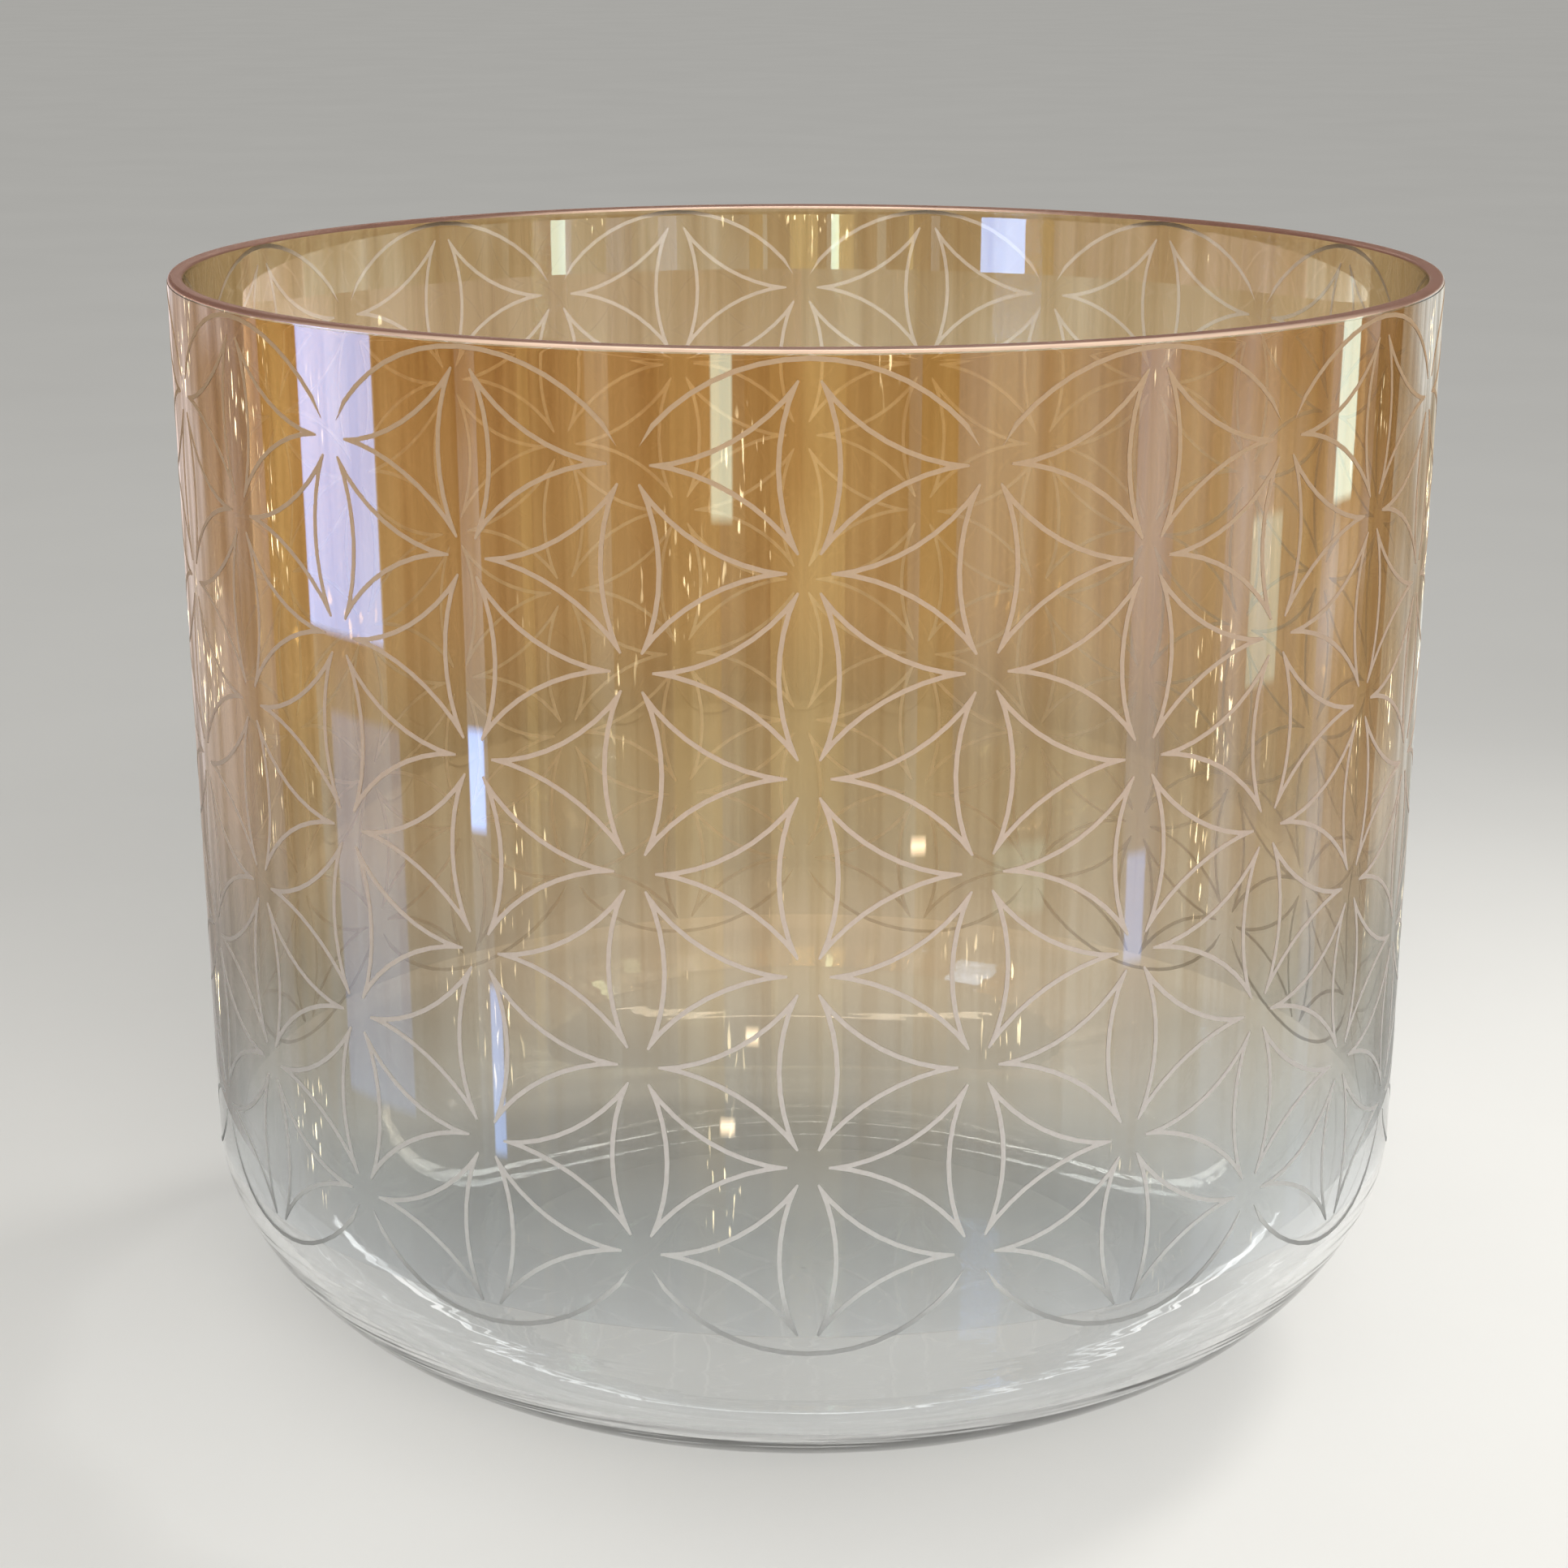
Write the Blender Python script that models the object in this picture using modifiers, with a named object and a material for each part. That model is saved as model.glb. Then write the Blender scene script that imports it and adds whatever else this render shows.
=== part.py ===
# Clear quartz singing bowl with a gold film on its straight wall.
# Metres, +Z up. The origin is the centre of the flat base, and +Z is the bowl's axis.

import math

import bpy

# Driving dimensions of the quartz bowl
RIM_DIAMETER = 0.2032        # outside, across the rim
BOWL_HEIGHT = 0.1780         # flat base to rim
WALL_THICKNESS = 0.0023
WALL_DRAFT_DEG = 0.73        # the wall leans in this much on its way down
BASE_THICKNESS = 0.0030
HEEL_HEIGHT = 0.0355         # flat base to the foot of the straight wall
HEEL_RADIUS = 0.0203         # tight arc where the heel leaves the wall, outside
HEEL_TURN_DEG = 24.0         # slope at which the tight arc gives way to the broad one
RIM_EDGE_RADIUS = 0.0007     # polished edge of the rim, outside and inside
RIM_EDGE_SHARE = 0.45        # most of the wall's thickness that one edge may take

# Driving dimensions of the gold film
FILM_THICKNESS = 0.0002      # drawn thicker than the real film, so that it is a solid
FILM_CLEARANCE = 0.0003      # kept between the film and the quartz
BARE_RIM_BAND = 0.0002       # clear quartz left between the film and the edge of the rim

# How finely the round stretches are divided
STEPS_AROUND = 96
STEPS_RIM_EDGE = 4
STEPS_TIGHT_ARC = 6
STEPS_BROAD_ARC = 9

MERGE_DISTANCE = 0.00001

# Plain finishes: colour, roughness and metallic
QUARTZ_FINISH = ((0.86, 0.88, 0.88), 0.04, 0.0)
GOLD_FINISH = ((0.76, 0.55, 0.29), 0.10, 0.6)

DRAFT = math.radians(WALL_DRAFT_DEG)
HEEL_TURN = math.radians(HEEL_TURN_DEG)
RIM_EDGE = min(RIM_EDGE_RADIUS, RIM_EDGE_SHARE * WALL_THICKNESS)


def wall_radius(height, inset=0.0):
    """Radius of the straight wall at a height, moved inwards by inset."""
    return RIM_DIAMETER / 2 - (BOWL_HEIGHT - height) * math.tan(DRAFT) - inset


def arc(centre, radius, start, end, steps):
    """Points on an arc in the profile's plane, with angles turning down from +X."""
    points = []
    for step in range(steps + 1):
        angle = start + (end - start) * step / steps
        across = centre[0] + radius * math.cos(angle)
        up = centre[1] - radius * math.sin(angle)
        points.append((across, up))
    return points


def heel(foot_radius, tight_radius, floor_height):
    """Points from the foot of the wall, round the heel, to the centre of the floor."""
    tight_centre = (
        foot_radius - tight_radius * math.cos(DRAFT),
        HEEL_HEIGHT + tight_radius * math.sin(DRAFT),
    )
    tight = arc(tight_centre, tight_radius, DRAFT, HEEL_TURN, STEPS_TIGHT_ARC)
    join = tight[-1]
    # The broad arc goes on from the tight one and lands level on the floor
    broad_radius = (join[1] - floor_height) / (1 - math.sin(HEEL_TURN))
    broad_centre = (
        join[0] - broad_radius * math.cos(HEEL_TURN),
        floor_height + broad_radius,
    )
    broad = arc(broad_centre, broad_radius, HEEL_TURN, math.pi / 2, STEPS_BROAD_ARC)
    return tight + broad[1:] + [(0.0, floor_height)]


def rim():
    """Points over the rim, from its inner edge to its outer one."""
    edge_height = BOWL_HEIGHT - RIM_EDGE
    outer_centre = (wall_radius(edge_height, RIM_EDGE), edge_height)
    inner_centre = (wall_radius(edge_height, WALL_THICKNESS - RIM_EDGE), edge_height)
    inner_edge = arc(inner_centre, RIM_EDGE, -math.pi, -math.pi / 2, STEPS_RIM_EDGE)
    outer_edge = arc(outer_centre, RIM_EDGE, -math.pi / 2, 0.0, STEPS_RIM_EDGE)
    return inner_edge + outer_edge


def bowl_profile():
    """Half section of the bowl: up its inside, over the rim and down its outside."""
    outer_foot = wall_radius(HEEL_HEIGHT)
    inner_foot = wall_radius(HEEL_HEIGHT, WALL_THICKNESS)
    outside = heel(outer_foot, HEEL_RADIUS, 0.0)
    inside = heel(inner_foot, HEEL_RADIUS - WALL_THICKNESS, BASE_THICKNESS)
    return list(reversed(inside)) + rim() + outside


def film_profile():
    """Half section of the film: down its outside and back up its inside."""
    top = BOWL_HEIGHT - RIM_EDGE - BARE_RIM_BAND
    inner_face = -FILM_CLEARANCE / math.cos(DRAFT)
    outer_face = -(FILM_CLEARANCE + FILM_THICKNESS) / math.cos(DRAFT)
    return [
        (wall_radius(top, outer_face), top),
        (wall_radius(HEEL_HEIGHT, outer_face), HEEL_HEIGHT),
        (wall_radius(HEEL_HEIGHT, inner_face), HEEL_HEIGHT),
        (wall_radius(top, inner_face), top),
    ]


def turned(name, profile, closed, material, collection, parent):
    """A piece turned about Z from its half section."""
    mesh = bpy.data.meshes.new(name)
    points = [(across, 0.0, up) for across, up in profile]
    edges = [(i, i + 1) for i in range(len(points) - 1)]
    if closed:
        edges.append((len(points) - 1, 0))
    mesh.from_pydata(points, edges, [])
    mesh.materials.append(material)
    piece = bpy.data.objects.new(name, mesh)
    collection.objects.link(piece)
    piece.parent = parent
    screw = piece.modifiers.new("turn", "SCREW")
    screw.axis = "Z"
    screw.angle = math.tau
    screw.steps = STEPS_AROUND
    screw.render_steps = STEPS_AROUND
    screw.use_merge_vertices = True
    screw.merge_threshold = MERGE_DISTANCE
    screw.use_smooth_shade = True
    return piece


def finish(name, look):
    """A plain material for one piece, from its colour, roughness and metallic."""
    colour, roughness, metallic = look
    material = bpy.data.materials.new(name)
    material.use_nodes = True
    shader = material.node_tree.nodes["Principled BSDF"]
    shader.inputs["Base Color"].default_value = (*colour, 1.0)
    shader.inputs["Roughness"].default_value = roughness
    shader.inputs["Metallic"].default_value = metallic
    return material


def clear_scene():
    for thing in list(bpy.data.objects):
        bpy.data.objects.remove(thing, do_unlink=True)


def build():
    clear_scene()
    collection = bpy.data.collections.new("singing_bowl")
    bpy.context.scene.collection.children.link(collection)
    base_centre = bpy.data.objects.new("base_centre", None)
    collection.objects.link(base_centre)

    quartz = finish("clear_quartz", QUARTZ_FINISH)
    gold = finish("gold_film", GOLD_FINISH)
    turned("quartz_bowl", bowl_profile(), False, quartz, collection, base_centre)
    turned("gold_film", film_profile(), True, gold, collection, base_centre)


build()
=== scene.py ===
import math

import bmesh
import bpy
from mathutils import Matrix, Vector


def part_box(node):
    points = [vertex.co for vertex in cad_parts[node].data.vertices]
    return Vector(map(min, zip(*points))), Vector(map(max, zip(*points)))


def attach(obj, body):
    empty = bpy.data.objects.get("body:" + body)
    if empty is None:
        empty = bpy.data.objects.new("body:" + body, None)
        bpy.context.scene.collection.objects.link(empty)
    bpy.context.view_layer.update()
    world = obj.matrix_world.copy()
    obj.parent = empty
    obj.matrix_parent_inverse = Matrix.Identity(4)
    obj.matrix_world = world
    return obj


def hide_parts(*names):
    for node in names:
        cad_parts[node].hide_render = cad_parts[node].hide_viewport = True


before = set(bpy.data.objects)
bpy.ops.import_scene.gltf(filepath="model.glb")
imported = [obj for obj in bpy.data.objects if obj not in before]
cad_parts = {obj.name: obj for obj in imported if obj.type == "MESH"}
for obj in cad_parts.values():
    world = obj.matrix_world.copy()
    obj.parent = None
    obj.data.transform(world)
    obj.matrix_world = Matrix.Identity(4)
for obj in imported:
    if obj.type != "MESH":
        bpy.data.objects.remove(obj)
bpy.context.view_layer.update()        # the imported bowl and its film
print("frame loaded:", ", ".join(sorted(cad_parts)))

quarterTurn = math.pi / 2
mergeGap = 1e-6          # points nearer than this become one
noTint = (1, 1, 1)


# small helpers for half sections and pieces

def startSection(x, z):
    bm = bmesh.new()
    return bm, bm.verts.new((x, 0, z))


def lineTo(bm, tip, x, z, rows=1):
    start = tip.co.copy()
    end = Vector((x, 0, z))
    for row in range(rows):
        tip = bmesh.ops.extrude_vert_indiv(bm, verts=[tip])["verts"][0]
        tip.co = start.lerp(end, (row + 1) / rows)
    return tip


def arcTo(bm, tip, centre, angle, rows):     # a positive angle turns from +Z over to +X
    pivot = (centre[0], 0, centre[1])
    arc = bmesh.ops.spin(bm, geom=[tip], cent=pivot, axis=(0, 1, 0), angle=angle, steps=rows)
    return arc["geom_last"][0]


def turnSection(bm, steps):                  # a full turn about the bowl's axis
    bmesh.ops.spin(
        bm, geom=bm.verts[:] + bm.edges[:], cent=(0, 0, 0), axis=(0, 0, 1),
        angle=math.tau, steps=steps, use_merge=True)
    bmesh.ops.remove_doubles(bm, verts=bm.verts, dist=mergeGap)
    bmesh.ops.recalc_face_normals(bm, faces=bm.faces)


def wholeOf(bm):
    return bm.verts[:] + bm.edges[:] + bm.faces[:]


def vertsIn(geom):
    return [part for part in geom if isinstance(part, bmesh.types.BMVert)]


def makePiece(name, bm, finishes, sharpDeg=60):
    mesh = bpy.data.meshes.new(name)
    bm.to_mesh(mesh)
    bm.free()
    for finish in finishes:
        mesh.materials.append(finish)
    mesh.shade_smooth()
    mesh.set_sharp_from_angle(angle=math.radians(sharpDeg))
    piece = bpy.data.objects.new(name, mesh)
    bpy.context.scene.collection.objects.link(piece)
    return piece


# small helpers for materials

def newFinish(name):
    finish = bpy.data.materials.new(name)
    finish.use_nodes = True
    return finish, finish.node_tree, finish.node_tree.nodes["Principled BSDF"]


def setSockets(shader, values):              # what is the same all over the surface
    for socket, value in values.items():
        shader.inputs[socket].default_value = value


def scaled(colour, share):
    return tuple(share * part for part in colour)


def objectSpace(tree, scale=(1, 1, 1)):
    coords = tree.nodes.new("ShaderNodeTexCoord")
    mapping = tree.nodes.new("ShaderNodeMapping")
    mapping.inputs["Scale"].default_value = scale
    tree.links.new(coords.outputs["Object"], mapping.inputs["Vector"])
    return mapping.outputs["Vector"]


def noise(tree, scale, detail, stretch=(1, 1, 1)):
    texture = tree.nodes.new("ShaderNodeTexNoise")
    texture.inputs["Scale"].default_value = scale
    texture.inputs["Detail"].default_value = detail
    tree.links.new(objectSpace(tree, stretch), texture.inputs["Vector"])
    return texture.outputs["Fac"]


def spread(tree, value, fromLow, fromHigh, toLow, toHigh):
    node = tree.nodes.new("ShaderNodeMapRange")
    ends = (fromLow, fromHigh, toLow, toHigh)
    for socket, number in zip(("From Min", "From Max", "To Min", "To Max"), ends):
        node.inputs[socket].default_value = number
    tree.links.new(value, node.inputs["Value"])
    return node.outputs["Result"]


def sums(tree, operation, first, second):
    node = tree.nodes.new("ShaderNodeMath")
    node.operation = operation
    for socket, value in zip(node.inputs, (first, second)):
        if isinstance(value, (int, float)):
            socket.default_value = value
        else:
            tree.links.new(value, socket)
    return node.outputs["Value"]


def upTheWall(tree, foot, top):              # 0 at the foot, 1 at the top
    split = tree.nodes.new("ShaderNodeSeparateXYZ")
    tree.links.new(objectSpace(tree), split.inputs["Vector"])
    return spread(tree, split.outputs["Z"], foot, top, 0, 1)


def ramp(tree, value, stops, steps="LINEAR"):
    node = tree.nodes.new("ShaderNodeValToRGB")
    node.color_ramp.interpolation = steps
    while len(node.color_ramp.elements) < len(stops):
        node.color_ramp.elements.new(0.5)
    for element, (place, colour) in zip(node.color_ramp.elements, stops):
        element.position = place
        element.color = (*colour, 1)
    tree.links.new(value, node.inputs["Fac"])
    return node.outputs["Color"]


def cloud(tree, scale, detail, ends, tones, stretch=(1, 1, 1)):      # noise between two tones
    return ramp(tree, noise(tree, scale, detail, stretch), list(zip(ends, tones)))


def mixColours(tree, first, second, amount, blend="MIX"):
    node = tree.nodes.new("ShaderNodeMix")
    node.data_type = "RGBA"
    node.blend_type = blend
    sockets = (node.inputs["Factor"], node.inputs[6], node.inputs[7])
    for socket, value in zip(sockets, (amount, first, second)):
        if isinstance(value, (int, float)):
            socket.default_value = value
        elif isinstance(value, tuple):
            socket.default_value = (*value, 1)
        else:
            tree.links.new(value, socket)
    return node.outputs[2]


def bump(tree, shader, height, strength, depth):
    node = tree.nodes.new("ShaderNodeBump")
    node.inputs["Strength"].default_value = strength
    node.inputs["Distance"].default_value = depth
    tree.links.new(height, node.inputs["Height"])
    tree.links.new(node.outputs["Normal"], shader.inputs["Normal"])


def lightThrough(tree, shader, colour):      # lamps shine through, tinted
    path = tree.nodes.new("ShaderNodeLightPath")
    clear = tree.nodes.new("ShaderNodeBsdfTransparent")
    clear.inputs["Color"].default_value = (*colour, 1)
    mix = tree.nodes.new("ShaderNodeMixShader")
    tree.links.new(path.outputs["Is Shadow Ray"], mix.inputs["Fac"])
    tree.links.new(shader.outputs["BSDF"], mix.inputs[1])
    tree.links.new(clear.outputs["BSDF"], mix.inputs[2])
    tree.links.new(mix.outputs["Shader"], tree.nodes["Material Output"].inputs["Surface"])


# quartz bowl: one turned wall, with a gilded edge over the rim

bowl = {
    "wall": 0.0023,
    "draftDeg": 0.73,        # the wall leans in on its way down
    "base": 0.0030,
    "heelHeight": 0.0355,    # flat base to the foot of the straight wall
    "heelRadius": 0.0203,    # tight arc under the wall, outside
    "heelTurnDeg": 24.0,     # slope where the broad arc takes over
    "rimEdge": 0.0007,
    "around": 240,
    "floorRows": 6,
    "wallRows": 14,
    "endRow": 0.0012,        # short rows that keep the shading true at the ends
    "tightRows": 10,
    "broadRows": 22,
    "rimRows": 5,
    "sharpDeg": 75,
    "tint": (0.985, 0.995, 1.0),
    "tintDip": 0.985,        # the cloudy parts, as a share of the tint
    "cloud": {"scale": 38, "detail": 3, "ends": (0.35, 0.65)},
    "bend": 1.46,            # index of quartz
    "shade": (0.97, 0.975, 0.98),       # lamp light that gets through
    "waveScale": 55,         # slow waves that the turning leaves in the quartz
    "waveStretch": (1, 1, 0.45),
    "waveDepth": 0.00002,
    "heelRings": 6.0,        # fine rings round the heel, as a multiple of that depth
    "ringScale": 240,
    "ringStretch": (0.05, 0.05, 1),
    "ringFade": (0.004, -0.008),        # from the foot of the wall: where they start and are full
    "rimTint": (0.60, 0.41, 0.33),      # the gilding on the rim
    "rimPale": 1.12,         # its paler parts, as a share of the tint
    "rimCloud": {"scale": 140, "detail": 2, "ends": (0.3, 0.7)},
    "rimRoughness": 0.25,
    "rimMetallic": 0.85,
    "rimGrainScale": 2600,
    "rimGrain": 0.12,
    "rimGrainDepth": 0.00003,
}

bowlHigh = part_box("quartz_bowl")[1]
rimRadius = bowlHigh.x
rimHeight = bowlHigh.z
draft = math.radians(bowl["draftDeg"])
heelTurn = math.radians(bowl["heelTurnDeg"])


def wallRadius(z):
    return rimRadius - (rimHeight - z) * math.tan(draft)


def heelCentres(foot, tight, floor):         # of the tight arc and the broad one
    tightCentre = (foot - tight * math.cos(draft), bowl["heelHeight"] + tight * math.sin(draft))
    joinX = tightCentre[0] + tight * math.cos(heelTurn)
    joinZ = tightCentre[1] - tight * math.sin(heelTurn)
    broad = (joinZ - floor) / (1 - math.sin(heelTurn))
    return tightCentre, (joinX - broad * math.cos(heelTurn), floor + broad)


def wallLine(bm, tip, offset, zEnd):         # short row, long rows, short row
    zStart = tip.co.z
    step = math.copysign(bowl["endRow"], zEnd - zStart)
    tip = lineTo(bm, tip, wallRadius(zStart + step) + offset, zStart + step)
    tip = lineTo(bm, tip, wallRadius(zEnd - step) + offset, zEnd - step, bowl["wallRows"])
    return lineTo(bm, tip, wallRadius(zEnd) + offset, zEnd)


def waves(tree):                             # the film shows the quartz's waves too
    return noise(tree, bowl["waveScale"], 1, bowl["waveStretch"])


def quartzFinish():
    finish, tree, shader = newFinish("clearQuartz")
    tones = (scaled(bowl["tint"], bowl["tintDip"]), bowl["tint"])
    tree.links.new(cloud(tree, **bowl["cloud"], tones=tones), shader.inputs["Base Color"])
    setSockets(shader, {"Roughness": 0.0, "IOR": bowl["bend"], "Transmission Weight": 1.0})
    start, full = bowl["ringFade"]
    onHeel = upTheWall(tree, bowl["heelHeight"] + start, bowl["heelHeight"] + full)
    rings = sums(tree, "MULTIPLY", noise(tree, bowl["ringScale"], 2, bowl["ringStretch"]), onHeel)
    rings = sums(tree, "MULTIPLY", rings, bowl["heelRings"])
    bump(tree, shader, sums(tree, "ADD", waves(tree), rings), 1.0, bowl["waveDepth"])
    lightThrough(tree, shader, bowl["shade"])
    return finish


def rimFinish():
    finish, tree, shader = newFinish("gildedRim")
    tones = (bowl["rimTint"], scaled(bowl["rimTint"], bowl["rimPale"]))
    tree.links.new(cloud(tree, **bowl["rimCloud"], tones=tones), shader.inputs["Base Color"])
    setSockets(shader, {"Roughness": bowl["rimRoughness"], "Metallic": bowl["rimMetallic"]})
    bump(tree, shader, noise(tree, bowl["rimGrainScale"], 2), bowl["rimGrain"], bowl["rimGrainDepth"])
    return finish


def makeBowl():
    edge = bowl["rimEdge"]
    edgeHeight = rimHeight - edge
    heelHeight = bowl["heelHeight"]
    inner = -bowl["wall"]
    foot = wallRadius(heelHeight)
    insideTight, insideBroad = heelCentres(foot + inner, bowl["heelRadius"] + inner, bowl["base"])
    outsideTight, outsideBroad = heelCentres(foot, bowl["heelRadius"], 0)

    bm, tip = startSection(0, bowl["base"])              # inside, from the floor's centre
    tip = lineTo(bm, tip, insideBroad[0], bowl["base"], bowl["floorRows"])
    tip = arcTo(bm, tip, insideBroad, heelTurn - quarterTurn, bowl["broadRows"])
    tip = arcTo(bm, tip, insideTight, draft - heelTurn, bowl["tightRows"])
    tip = wallLine(bm, tip, inner, edgeHeight)
    innerEdge = (wallRadius(edgeHeight) + inner + edge, edgeHeight)
    outerEdge = (wallRadius(edgeHeight) - edge, edgeHeight)
    tip = arcTo(bm, tip, innerEdge, quarterTurn, bowl["rimRows"])      # over the rim
    tip = lineTo(bm, tip, outerEdge[0], rimHeight)
    tip = arcTo(bm, tip, outerEdge, quarterTurn, bowl["rimRows"])
    tip = wallLine(bm, tip, 0, heelHeight)               # down the outside
    tip = arcTo(bm, tip, outsideTight, heelTurn - draft, bowl["tightRows"])
    tip = arcTo(bm, tip, outsideBroad, quarterTurn - heelTurn, bowl["broadRows"])
    lineTo(bm, tip, 0, 0, bowl["floorRows"])
    turnSection(bm, bowl["around"])
    for face in bm.faces:
        face.material_index = int(face.calc_center_median().z > edgeHeight)
    piece = makePiece("quartzBowl", bm, [quartzFinish(), rimFinish()], bowl["sharpDeg"])
    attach(piece, "root")
    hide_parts("quartz_bowl")


makeBowl()
print("bowl turned,", round(2000 * rimRadius, 1), "mm across and", round(1000 * rimHeight, 1), "mm high")


# gold film: a thin half mirror on the straight wall

film = {
    "clearance": 0.00004,    # off the quartz
    "thickness": 0.00006,
    "tintsAndShade": [               # from the foot of the film to its top: clear at the foot and amber towards the top as the coat fades out downwards, with a darker band low on the wall that is painted shade
        (0.0, (0.91, 0.93, 0.95)),
        (0.12, (0.685, 0.70, 0.69)),
        (0.3, (0.65, 0.585, 0.48)),
        (0.45, (0.95, 0.745, 0.51)),
        (0.6, (1.0, 0.765, 0.455)),
        (1.0, (0.885, 0.60, 0.285)),
    ],
    "mirror": 1.7,           # index that sets how much it reflects
    "mirrorTint": (1.0, 0.96, 0.90),
    "shade": (0.86, 0.86, 0.86),       # lamp light that gets through
    "streaks": 0.65,         # strength of the fine upright streaks
    "streakFade": (0.1, 0.5),          # they fade in between these shares of the height
    "streakLayers": [        # scale and deepest tone
        (420, (0.84, 0.76, 0.64)),
        (150, (0.80, 0.70, 0.56)),
        (34, (0.86, 0.76, 0.62)),
    ],
    "streakLook": {"detail": 3, "ends": (0.32, 0.52), "stretch": (1, 1, 0.03)},
}

filmLow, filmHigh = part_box("gold_film")


def filmFinish():
    finish, tree, shader = newFinish("goldFilm")
    height = upTheWall(tree, filmLow.z, filmHigh.z)
    # the darker band low on the wall in this ramp is painted shade
    tint = ramp(tree, height, film["tintsAndShade"])
    strength = spread(tree, height, *film["streakFade"], 0, film["streaks"])
    for scale, deep in film["streakLayers"]:
        streak = cloud(tree, scale, tones=(deep, noTint), **film["streakLook"])
        tint = mixColours(tree, tint, streak, strength, "MULTIPLY")
    tree.links.new(tint, shader.inputs["Base Color"])
    setSockets(shader, {"Roughness": 0.0, "IOR": film["mirror"], "Transmission Weight": 1.0})
    setSockets(shader, {"Specular Tint": (*film["mirrorTint"], 1)})
    bump(tree, shader, waves(tree), 1.0, bowl["waveDepth"])
    lightThrough(tree, shader, film["shade"])
    return finish


def makeFilm():
    inner = film["clearance"]
    outer = inner + film["thickness"]
    bm, first = startSection(wallRadius(filmHigh.z) + outer, filmHigh.z)
    tip = wallLine(bm, first, outer, filmLow.z)
    tip = lineTo(bm, tip, wallRadius(filmLow.z) + inner, filmLow.z)
    tip = wallLine(bm, tip, inner, filmHigh.z)
    bm.edges.new((tip, first))
    turnSection(bm, bowl["around"])
    piece = makePiece("goldFilm", bm, [filmFinish()])
    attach(piece, "root")
    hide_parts("gold_film")


makeFilm()
print("film laid from", round(1000 * filmLow.z, 1), "to", round(1000 * filmHigh.z, 1), "mm")


# etched lattice: petals between touching circles, as frosted lines on the film

lattice = {
    "columns": 26,           # columns of hubs round the wall
    "step": 0.02865,         # hub to hub, up and down
    "topHub": 0.01594,       # highest hubs, below the rim
    "evenRows": (-1, 1, 3, 5, 7),      # petals in every second column, in half steps
    "oddRows": (0, 2, 4, 6),           # petals in the columns between
    "line": 0.00068,         # width of an etched line
    "lineTurnDeg": 24.0,     # half turn of a petal's side, short of the hubs
    "borderTurnDeg": 54.0,   # half turn of the arcs that close the pattern
    "petalRows": 8,
    "borderRows": 16,
    "lift": 0.000015,        # off the quartz
    "thickness": 0.00014,    # right through the film
    "sharpDeg": 40,
    "tones": [               # from the foot of the film to its top
        (0.0, (0.46, 0.47, 0.47)),
        (0.05, (0.78, 0.79, 0.78)),
        (0.2, (0.82, 0.78, 0.75)),
        (0.55, (0.82, 0.665, 0.55)),
        (0.9, (0.74, 0.53, 0.34)),
    ],
    "frost": 0.45,           # share of the light that goes through, blurred
    "backTonesLit": [           # seen from inside the bowl: paler than the front, painted light that stands in for the light the frosted lines let through from behind
        (0.0, (0.97, 0.94, 0.90)),
        (0.9, (0.90, 0.73, 0.55)),
    ],
    "backFrost": 0.1,
    "gloss": 0.05,           # etched lines hardly mirror, even seen from the side
    "bend": 1.1,
    "grain": {"scale": 1500, "detail": 2, "ends": (0.3, 0.7), "tones": ((0.93, 0.92, 0.91), noTint)},
    "roughScale": 900,
    "roughness": (0.4, 0.7),
    "pitScale": 2400,        # fine pits that the etching leaves
    "pits": 0.15,
    "pitDepth": 0.00003,
}

hubTurn = math.radians(30)   # the hubs lie on triangles with equal sides
columnWidth = lattice["step"] * math.cos(hubTurn)
columnTurn = math.tau / lattice["columns"]
cutSlack = 1e-7              # how near a cut a point may lie


def ribbon(bm, centre, middleDeg, halfTurnDeg, rows):     # an arc as wide as a line, and its two ends
    pivot = Vector(centre)
    start = math.radians(middleDeg - halfTurnDeg)
    out = Vector((math.cos(start), math.sin(start), 0))
    inside = bm.verts.new(pivot + out * lattice["step"])
    outside = bm.verts.new(pivot + out * (lattice["step"] + lattice["line"]))
    edge = bm.edges.new((inside, outside))
    turn = math.radians(2 * halfTurnDeg)
    spun = bmesh.ops.spin(
        bm, geom=[inside, outside, edge], cent=pivot, axis=(0, 0, 1), angle=turn, steps=rows)
    return (inside, outside), vertsIn(spun["geom_last"])


def petalPair():                             # the two three-cornered outlines beside one petal
    step = lattice["step"]
    bm = bmesh.new()
    ribbon(bm, (-columnWidth, step / 2, 0), 0, lattice["lineTurnDeg"], lattice["petalRows"])
    for corner, slope in ((0, -math.sin(hubTurn)), (step, math.sin(hubTurn))):      # mitres at the tips
        bmesh.ops.bisect_plane(
            bm, geom=wholeOf(bm), dist=cutSlack, plane_co=(0, corner, 0),
            plane_no=(math.cos(hubTurn), slope, 0), clear_outer=True)
    side = wholeOf(bm)
    middle = Vector((columnWidth / 3, step / 2, 0))
    for turn in (1, 2):                      # the other two sides
        copy = bmesh.ops.duplicate(bm, geom=side)["geom"]
        third = Matrix.Rotation(turn * math.tau / 3, 3, "Z")
        bmesh.ops.rotate(bm, verts=vertsIn(copy), cent=middle, matrix=third)
    bmesh.ops.remove_doubles(bm, verts=bm.verts, dist=mergeGap)
    bmesh.ops.mirror(bm, geom=wholeOf(bm), axis="X", merge_dist=-1)
    return bm


def borderArc(middleDeg):
    bm = bmesh.new()
    for end in ribbon(bm, (0, 0, 0), middleDeg, lattice["borderTurnDeg"], lattice["borderRows"]):
        near = min(end, key=lambda vert: vert.co.length)
        bmesh.ops.pointmerge(bm, verts=list(end), merge_co=near.co.copy())     # pointed ends
    return bm


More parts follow.
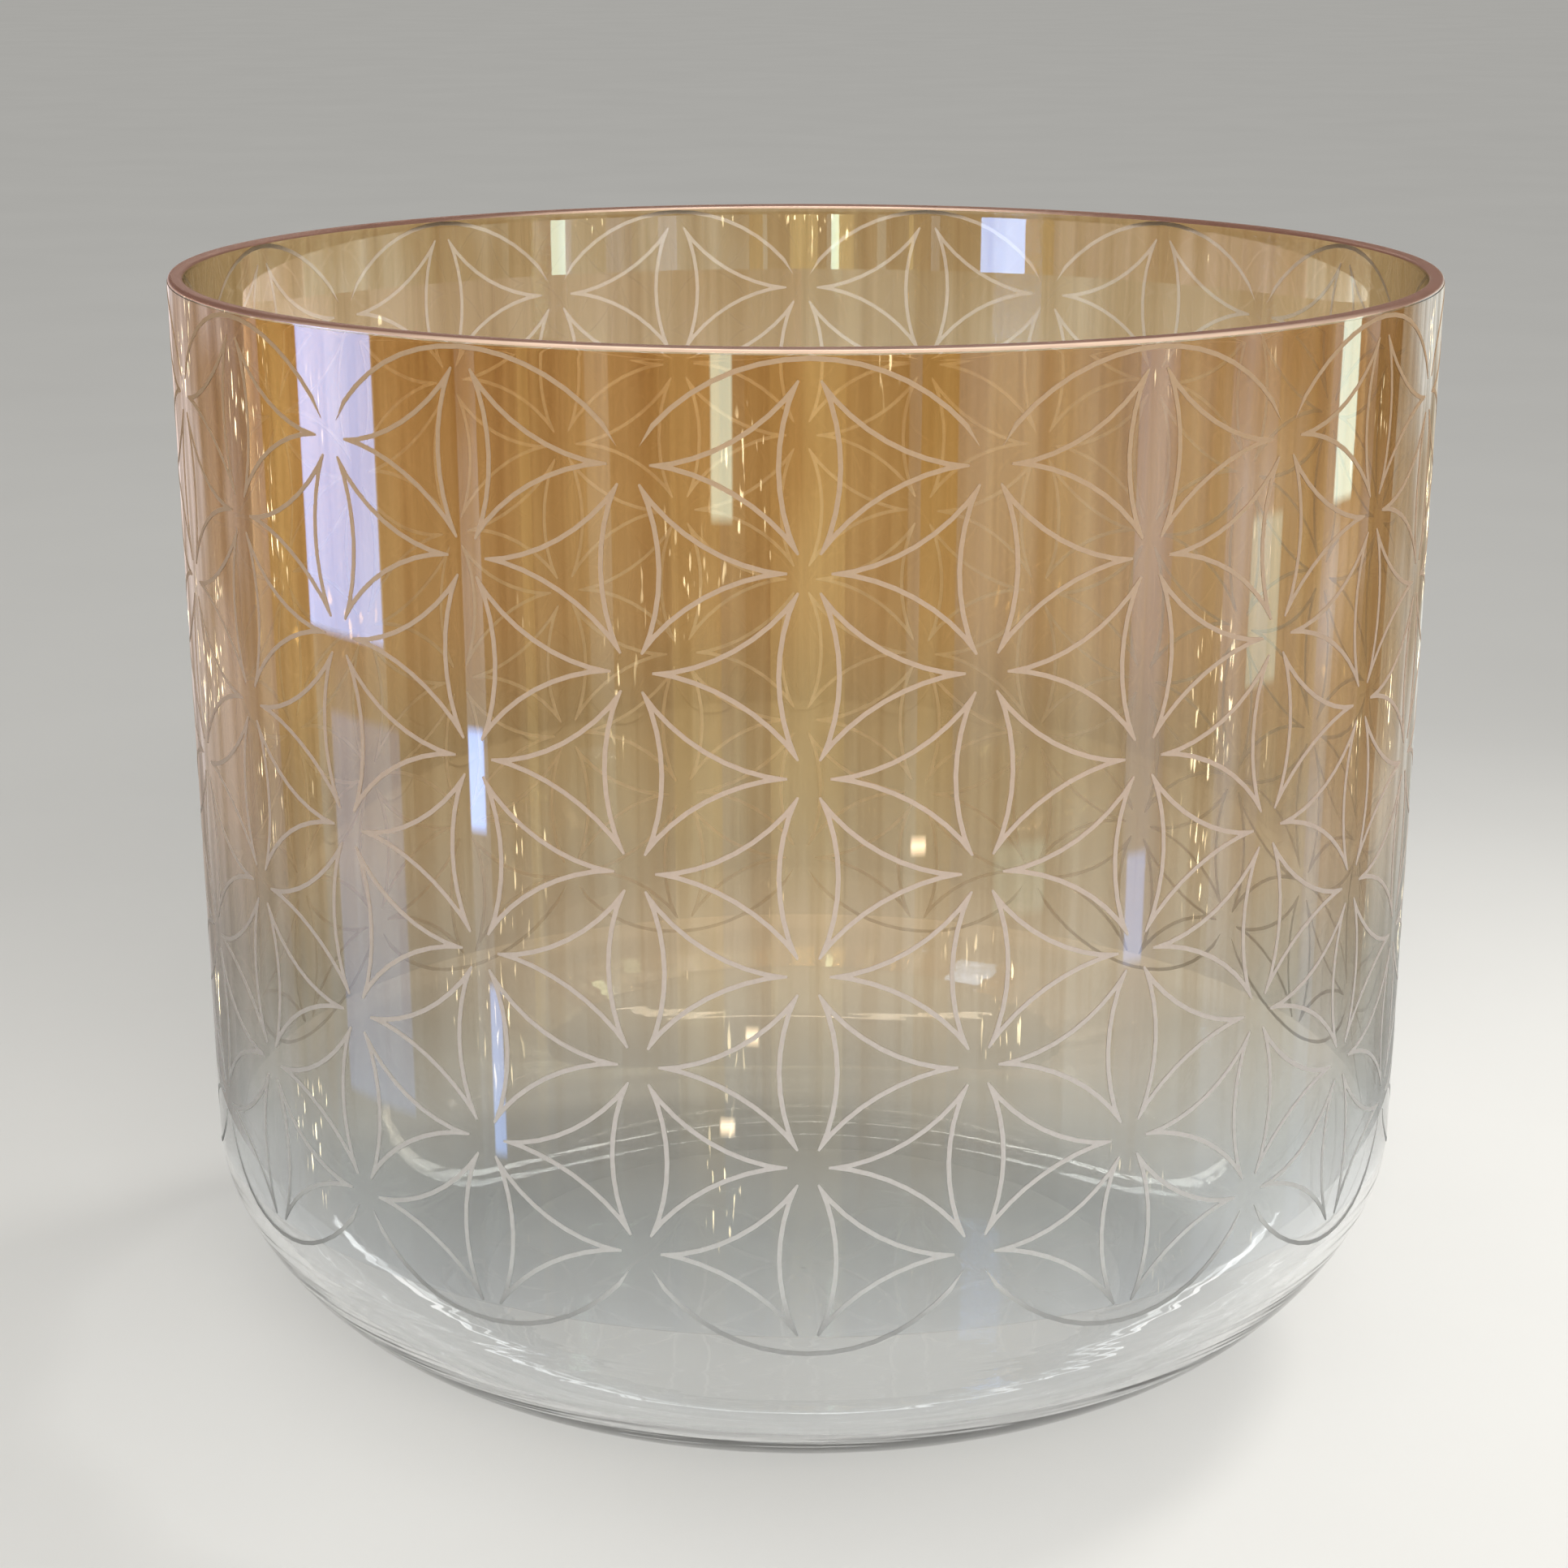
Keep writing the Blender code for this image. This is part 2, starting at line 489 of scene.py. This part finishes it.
def stamp(sheet, shape, places):             # copies of a flat shape on the flat sheet
    for x, y in places:
        copy = shape.copy()
        bmesh.ops.translate(copy, verts=copy.verts, vec=(x, y, 0))
        flat = bpy.data.meshes.new("stamp")
        copy.to_mesh(flat)
        copy.free()
        sheet.from_mesh(flat)
        bpy.data.meshes.remove(flat)
    shape.free()


def rowHeight(row):
    return -row * lattice["step"] / 2


def surfaceRadius(z):                        # outside of the quartz, wall or heel
    if z >= bowl["heelHeight"]:
        return wallRadius(z)
    centre = heelCentres(wallRadius(bowl["heelHeight"]), bowl["heelRadius"], 0)[0]
    return centre[0] + math.sqrt(bowl["heelRadius"] ** 2 - (centre[1] - z) ** 2)


def wrap(sheet):                             # from the flat sheet round the wall
    for vert in sheet.verts:
        angle = vert.co.x / columnWidth * columnTurn - quarterTurn
        z = rimHeight - lattice["topHub"] + vert.co.y
        radius = surfaceRadius(z) + lattice["lift"]
        vert.co = (radius * math.cos(angle), radius * math.sin(angle), z)


def etchFinish(name, tones, frost):
    finish, tree, shader = newFinish(name)
    tone = ramp(tree, upTheWall(tree, filmLow.z, filmHigh.z), tones)
    tone = mixColours(tree, tone, cloud(tree, **lattice["grain"]), 1.0, "MULTIPLY")
    tree.links.new(tone, shader.inputs["Base Color"])
    rough = spread(tree, noise(tree, lattice["roughScale"], 2), 0, 1, *lattice["roughness"])
    tree.links.new(rough, shader.inputs["Roughness"])
    setSockets(shader, {"Transmission Weight": frost, "IOR": lattice["bend"]})
    setSockets(shader, {"Specular IOR Level": lattice["gloss"]})
    bump(tree, shader, noise(tree, lattice["pitScale"], 2), lattice["pits"], lattice["pitDepth"])
    return finish


def outward(face):                           # 1 where a face looks straight away from the axis
    middle = face.calc_center_median()
    return face.normal.xy.dot(middle.xy.normalized())


def makeLattice():
    sheet = bmesh.new()
    petals = []
    for column in range(lattice["columns"]):
        rows = lattice["oddRows"] if column % 2 else lattice["evenRows"]
        petals += [(column * columnWidth, rowHeight(row + 2)) for row in rows]
    evenColumns = range(0, lattice["columns"], 2)
    highHub = rowHeight(lattice["evenRows"][1])
    lowHub = rowHeight(lattice["evenRows"][-1])
    stamp(sheet, petalPair(), petals)
    stamp(sheet, borderArc(90), [(column * columnWidth, highHub) for column in evenColumns])
    stamp(sheet, borderArc(-90), [(column * columnWidth, lowHub) for column in evenColumns])
    wrap(sheet)
    bmesh.ops.recalc_face_normals(sheet, faces=sheet.faces)
    for face in sheet.faces:
        if outward(face) < 0:
            face.normal_flip()
    bmesh.ops.solidify(sheet, geom=sheet.faces[:], thickness=-lattice["thickness"])
    bmesh.ops.recalc_face_normals(sheet, faces=sheet.faces)
    for face in sheet.faces:
        # faces towards the axis take the paler finish, with its painted light
        face.material_index = int(outward(face) < -0.5)
    front = etchFinish("etchedLine", lattice["tones"], lattice["frost"])
    back = etchFinish("etchedBackLit", lattice["backTonesLit"], lattice["backFrost"])
    piece = makePiece("etchedLattice", sheet, [front, back], lattice["sharpDeg"])
    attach(piece, "root")
    return len(petals)


print("lattice etched with", makeLattice(), "petals")


# floor: plain and pale

ground = {
    "radius": 14.0,
    "around": 96,
    "tone": (0.785, 0.785, 0.765),
    "toneDip": 0.97,         # its duller parts, as a share of the tone
    "cloud": {"scale": 9, "detail": 4, "ends": (0.3, 0.7)},
    "roughness": 0.6,
}


def makeFloor():
    bm = bmesh.new()
    bmesh.ops.create_circle(bm, cap_ends=True, segments=ground["around"], radius=ground["radius"])
    finish, tree, shader = newFinish("paleFloor")
    tones = (scaled(ground["tone"], ground["toneDip"]), ground["tone"])
    tree.links.new(cloud(tree, **ground["cloud"], tones=tones), shader.inputs["Base Color"])
    setSockets(shader, {"Roughness": ground["roughness"], "Specular IOR Level": 0.0})
    floor = makePiece("floor", bm, [finish])


makeFloor()
print("floor laid")


# screens: one round the bowl and one inside it, glowing panels painted with bands, panes and glints,
# which show only in its reflections as painted reflections

surround = {
    "outer": {"radius": 0.165, "foot": 0, "top": 0.50, "glow": noTint},
    "inner": {
        "radius": 0.090,
        "foot": 0.085,
        "top": 0.165,
        "glow": (2.8, 2.7, 2.4),           # how much brighter it is than the outer one
        "fade": (0.088, 0.14),             # heights between which it dims on its way down
    },
    "innerFoot": (0.5, 0.45, 0.38),
    "around": 160,
    "tones": {               # what the screens are painted with
        "amber": (1.0, 0.65, 0.20),
        "brown": (0.48, 0.31, 0.18),
        "cool": (1.5, 1.7, 2.1),
        "cream": (1.7, 1.35, 0.62),
        "pale": (1.15, 1.2, 1.15),
        "rose": (1.15, 1.0, 0.98),
        "blue": (2.0, 3.7, 8.3),
        "spot": (18.0, 14.5, 10.0),
        "white": (4.0, 5.8, 5.2),
    },
    "bands": [               # where each upright band starts, in degrees from the front
        (-180, "rose"), (-79, "amber"), (-69.5, "pale"), (-55, "brown"), (-42.5, "cool"),
        (-39.5, "brown"), (-35, "cream"), (-32.5, "brown"), (-25.5, "pale"), (-23, "brown"),
        (-15.5, "cream"), (-11, "pale"), (-8.3, "brown"), (-4.5, "cream"), (4, "brown"),
        (10, "pale"), (11.5, "amber"), (16, "pale"), (39, "cool"), (45, "pale"), (53, "cool"),
        (61, "pale"), (72, "cool"), (77, "rose"), (85, "brown"), (94, "pale"),
    ],
    "clouds": [              # upright streaks and broad patches over the bands
        {"scale": 90, "detail": 4, "stretch": (1, 1, 0.04), "ends": (0.35, 0.65),
         "tones": ((0.55, 0.5, 0.45), (1.3, 1.3, 1.3))},
        {"scale": 16, "detail": 2, "stretch": (1, 1, 0.9), "ends": (0.38, 0.5),
         "tones": ((0.6, 0.5, 0.4), noTint)},
    ],
    # darker at the foot: painted shade in the reflections low on the wall
    "footTone": (0.35, 0.34, 0.32),
    "footFade": (0.13, 0.02),              # heights between which the foot's tone comes in
    "footShare": 0.85,
    "panes": [               # bright panes: two edges, foot, top, tone and strength
        (-69.5, -55, 0.113, 0.30, "blue", 1.0),
        (-66, -53, 0.030, 0.101, "blue", 0.17),
        (-42.3, -39.8, 0.085, 0.104, "blue", 1.8),
        (-40.5, -38.5, 0.028, 0.060, "blue", 0.8),
        (-11, -8.3, 0.140, 0.30, "white", 1.0),
        (-10.5, -8.5, 0.038, 0.042, "spot", 1.0),
        (-7.4, -5.6, 0.054, 0.058, "spot", 1.0),
        (12, 14, 0.086, 0.090, "spot", 1.0),
        (22, 29, 0.074, 0.088, "white", 0.2),
        (40, 43, 0.062, 0.083, "blue", 0.5),
        (58, 64, 0.105, 0.136, "white", 0.35),
        (75, 80, 0.133, 0.30, "white", 0.8),
    ],
    "paneEdgeDeg": 0.3,      # soft edges of the panes, across and upright
    "paneEdge": 0.002,
    "sparkle": (16.0, 14.0, 9.0),          # small bright dots in clusters, painted glints
    "clusterScale": 26,
    "clusterEnds": (0.62, 0.70),
    "dotScale": 900,
    "dotStretch": (1, 1, 0.25),
    "dotEnds": (0.70, 0.78),
    "aboveRim": [            # over the rim: pale in front, dark at the sides and behind
        (-80, (0.20, 0.11, 0.085)),
        (-40, (1.35, 1.45, 1.3)),
        (55, (1.35, 1.45, 1.3)),
        (95, (0.20, 0.11, 0.085)),
    ],
    "rimFade": (0.172, 0.182),             # heights between which that comes in
}


def rampPlace(degrees):                      # 0 to 1 round the bowl, 0.5 in front
    return degrees / 360 + 0.5


def between(tree, value, low, high, edge):   # 1 from low to high, 0 outside
    rise = spread(tree, value, low, low + edge, 0, 1)
    return sums(tree, "MULTIPLY", rise, spread(tree, value, high, high - edge, 0, 1))


def addPanes(tree, tone, degrees, height):
    for left, right, low, high, name, strength in surround["panes"]:
        across = between(tree, degrees, left, right, surround["paneEdgeDeg"])
        upright = between(tree, height, low, high, surround["paneEdge"])
        glare = scaled(surround["tones"][name], strength)
        tone = mixColours(tree, tone, glare, sums(tree, "MULTIPLY", across, upright), "ADD")
    return tone


def addSparkles(tree, tone):
    clusters = spread(tree, noise(tree, surround["clusterScale"], 1), *surround["clusterEnds"], 0, 1)
    dots = noise(tree, surround["dotScale"], 0, surround["dotStretch"])
    dots = spread(tree, dots, *surround["dotEnds"], 0, 1)
    return mixColours(tree, tone, surround["sparkle"], sums(tree, "MULTIPLY", clusters, dots), "ADD")


def screenFinish(title, glow, fade):
    finish, tree, shader = newFinish(title)
    split = tree.nodes.new("ShaderNodeSeparateXYZ")
    tree.links.new(objectSpace(tree, (1, -1, 1)), split.inputs["Vector"])
    height = split.outputs["Z"]
    turn = sums(tree, "ARCTAN2", split.outputs["X"], split.outputs["Y"])       # 0 at the front
    place = spread(tree, turn, -math.pi, math.pi, 0, 1)
    bands = [(rampPlace(start), surround["tones"][name]) for start, name in surround["bands"]]
    tone = ramp(tree, place, bands, "CONSTANT")
    for layer in surround["clouds"]:
        tone = mixColours(tree, tone, cloud(tree, **layer), 1.0, "MULTIPLY")
    atFoot = spread(tree, height, *surround["footFade"], 0, surround["footShare"])
    tone = mixColours(tree, tone, surround["footTone"], atFoot)
    tone = addPanes(tree, tone, spread(tree, turn, -math.pi, math.pi, -180, 180), height)
    tone = addSparkles(tree, tone)
    tone = mixColours(tree, tone, glow, 1.0, "MULTIPLY")
    if fade:
        tone = mixColours(tree, surround["innerFoot"], tone, spread(tree, height, *fade, 0, 1))
    above = ramp(tree, place, [(rampPlace(start), colour) for start, colour in surround["aboveRim"]])
    tone = mixColours(tree, tone, above, spread(tree, height, *surround["rimFade"], 0, 1))
    tree.nodes.remove(shader)
    light = tree.nodes.new("ShaderNodeEmission")
    tree.links.new(tone, light.inputs["Color"])
    tree.links.new(light.outputs["Emission"], tree.nodes["Material Output"].inputs["Surface"])
    finish.cycles.emission_sampling = "NONE"
    return finish


def makeScreen(name, radius, foot, top, glow, fade=None):
    bm = bmesh.new()
    level = Matrix.Translation((0, 0, foot))
    bmesh.ops.create_circle(bm, segments=surround["around"], radius=radius, matrix=level)
    wall = bmesh.ops.extrude_edge_only(bm, edges=bm.edges[:])["geom"]
    bmesh.ops.translate(bm, verts=vertsIn(wall), vec=(0, 0, top - foot))
    screen = makePiece(name, bm, [screenFinish(name, glow, fade)])
    screen.visible_camera = False
    screen.visible_diffuse = False
    screen.visible_transmission = False
    screen.visible_volume_scatter = False
    screen.visible_shadow = False


makeScreen("screen", **surround["outer"])
makeScreen("innerScreen", **surround["inner"])
print("screens set up")


# light: a soft sky, a key from behind on the right, a fill in front, and tubes for the gloss

light = {
    "skyTone": (1.0, 0.985, 0.96),
    "skyStrength": 0.51,
    "skySeen": 0.395,        # as bright as the far floor, so that no horizon shows
    "lampTone": (1.0, 0.985, 0.96),
    "key": {
        "place": (0.66, 0.50, 0.92),
        "aim": (0.14, -0.05, 0),
        "radius": 0.16,
        "coneDeg": 36,
        "power": 34.0,
    },
    "fill": {
        "place": (0.15, -1.25, 0.75),
        "aim": (0, 0, 0.09),
        "size": (0.7, 0.5),
        "spreadDeg": 70,     # keeps its light off the floor at its foot
        "power": 2.25,
    },
    "tubes": [               # seen only in the glass: place, length, width, brightness
        ((0.0, -0.35, 0.80), 1.1, 0.035, 14.0),
        ((0.1, 0.55, 0.45), 0.9, 0.02, 12.0),
        ((0.0, 1.50, 0.40), 0.9, 0.05, 4.0),
    ],
    "tubeAim": (0, 0, 0.02),
}


def beforeDiffuse(tree, path):               # 1 until a ray has met a dull surface
    return spread(tree, path.outputs["Diffuse Depth"], 0, 1, 1, 0)


def makeSky():
    world = bpy.data.worlds.new("studio")
    world.use_nodes = True
    tree = world.node_tree
    sky = tree.nodes["Background"]
    sky.inputs["Color"].default_value = (*light["skyTone"], 1)
    path = tree.nodes.new("ShaderNodeLightPath")
    seen = sums(tree, "ADD", path.outputs["Is Camera Ray"], path.outputs["Is Glossy Ray"])
    seen = sums(tree, "ADD", seen, path.outputs["Is Transmission Ray"])
    seen = sums(tree, "MULTIPLY", seen, beforeDiffuse(tree, path))
    strength = spread(tree, seen, 0, 1, light["skyStrength"], light["skySeen"])
    tree.links.new(strength, sky.inputs["Strength"])
    bpy.context.scene.world = world


def hangLamp(lamp, place, aim):
    lamp.color = light["lampTone"]
    holder = bpy.data.objects.new(lamp.name, lamp)
    holder.location = place
    holder.rotation_euler = (Vector(aim) - Vector(place)).to_track_quat("-Z", "Y").to_euler()
    holder.visible_camera = False
    bpy.context.scene.collection.objects.link(holder)
    return holder


def areaLamp(name, size, power):
    lamp = bpy.data.lights.new(name, "AREA")
    lamp.shape = "RECTANGLE"
    lamp.size, lamp.size_y = size
    lamp.energy = power
    return lamp


def hideInGlass(holder):                     # its light goes through by shadow rays instead
    holder.visible_glossy = False
    holder.visible_transmission = False


def onlyInGlass(lamp):                       # seen in the glass, but throws no glare on the floor
    lamp.use_nodes = True
    tree = lamp.node_tree
    path = tree.nodes.new("ShaderNodeLightPath")
    tree.links.new(beforeDiffuse(tree, path), tree.nodes["Emission"].inputs["Strength"])


def makeLamps():
    key = light["key"]
    lamp = bpy.data.lights.new("key", "SPOT")
    lamp.energy = key["power"]
    lamp.spot_size = math.radians(key["coneDeg"])
    lamp.spot_blend = 1.0
    lamp.shadow_soft_size = key["radius"]
    hideInGlass(hangLamp(lamp, key["place"], key["aim"]))

    fill = light["fill"]
    lamp = areaLamp("fill", fill["size"], fill["power"])
    lamp.spread = math.radians(fill["spreadDeg"])
    hideInGlass(hangLamp(lamp, fill["place"], fill["aim"]))

    for index, (place, length, width, brightness) in enumerate(light["tubes"]):
        power = brightness * math.pi * length * width
        lamp = areaLamp("tube%d" % index, (length, width), power)
        hangLamp(lamp, place, light["tubeAim"]).visible_diffuse = False
        onlyInGlass(lamp)


makeSky()
makeLamps()
print("lamps hung")


# camera at the photograph's angle

view = {
    "lens": 73.56,
    "sensor": 36.0,
    "place": (-0.0034, -0.5225, 0.2358),
    "tiltDeg": 74.44,        # from straight down
}


def makeCamera():
    camera = bpy.data.cameras.new("camera")
    camera.lens = view["lens"]
    camera.sensor_width = view["sensor"]
    holder = bpy.data.objects.new("camera", camera)
    holder.location = view["place"]
    holder.rotation_euler = (math.radians(view["tiltDeg"]), 0, 0)
    bpy.context.scene.collection.objects.link(holder)
    bpy.context.scene.camera = holder


makeCamera()
bpy.context.scene.view_settings.view_transform = "Standard"
print("camera set")
